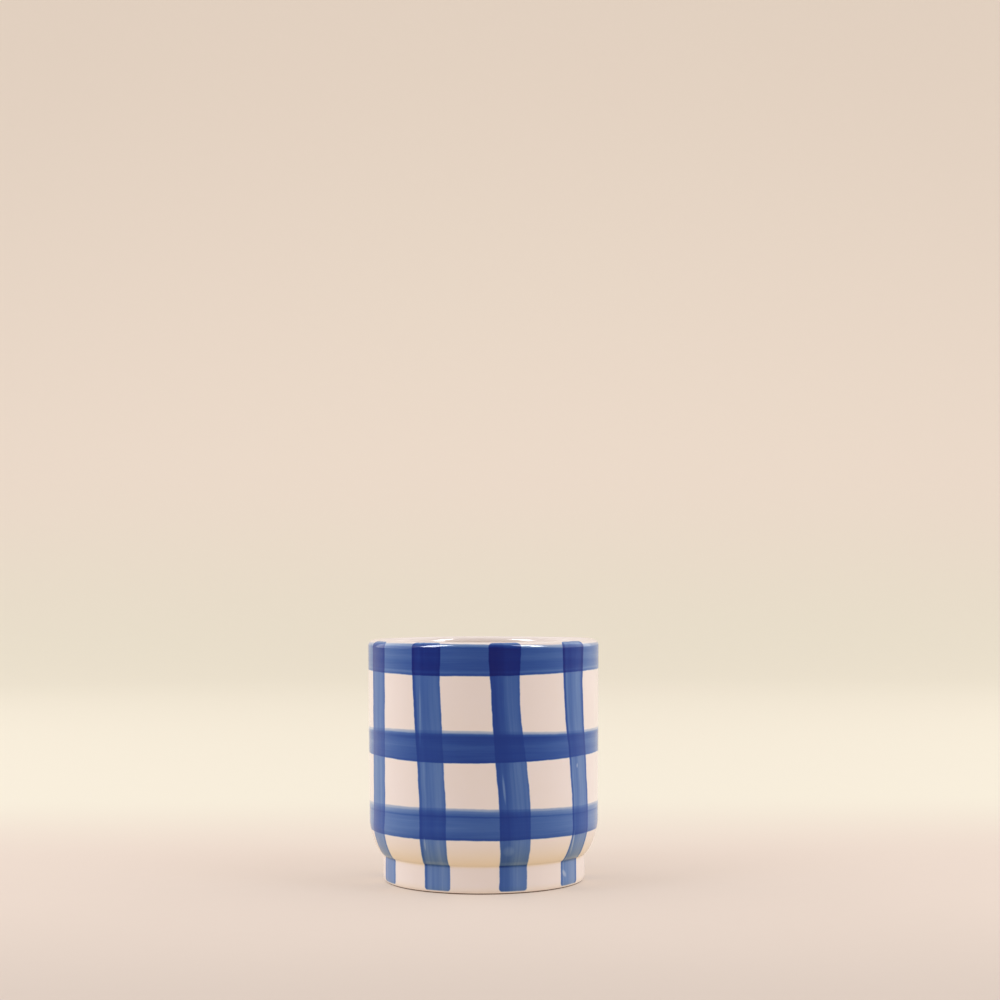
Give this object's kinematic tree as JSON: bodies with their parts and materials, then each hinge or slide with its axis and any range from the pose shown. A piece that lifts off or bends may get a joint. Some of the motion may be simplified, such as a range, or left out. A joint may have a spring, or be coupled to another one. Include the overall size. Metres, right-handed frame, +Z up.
{
  "type": "stacking stoneware mug",
  "caption": "Handleless stoneware mug with a rounded lip, a narrower stacking foot and hand-brushed cobalt checks in a cream glaze.",
  "frame": {"origin": "centre of the foot ring, on the surface that the mug stands on", "axes": "+Z up the mug's turning axis, out of its mouth; -Y is the front, between the second and third brush stripes"},
  "size_m": [0.08, 0.08, 0.0825],
  "materials": {
    "fired_clay": "matte",
    "cream_glaze": "polished",
    "cobalt_blue": "polished"
  },
  "bodies": {
    "root": {"stoneware_body": "fired_clay", "interior_glaze": "cream_glaze", "exterior_glaze": "cream_glaze", "foot_recess_glaze": "cream_glaze", "top_cobalt_band": "cobalt_blue", "middle_cobalt_band": "cobalt_blue", "bottom_cobalt_band": "cobalt_blue", "cobalt_stripe_1": "cobalt_blue", "cobalt_stripe_2": "cobalt_blue", "cobalt_stripe_3": "cobalt_blue", "cobalt_stripe_4": "cobalt_blue", "cobalt_stripe_5": "cobalt_blue", "cobalt_stripe_6": "cobalt_blue", "cobalt_stripe_7": "cobalt_blue", "cobalt_stripe_8": "cobalt_blue", "cobalt_stripe_9": "cobalt_blue"}
  },
  "joints": []
}
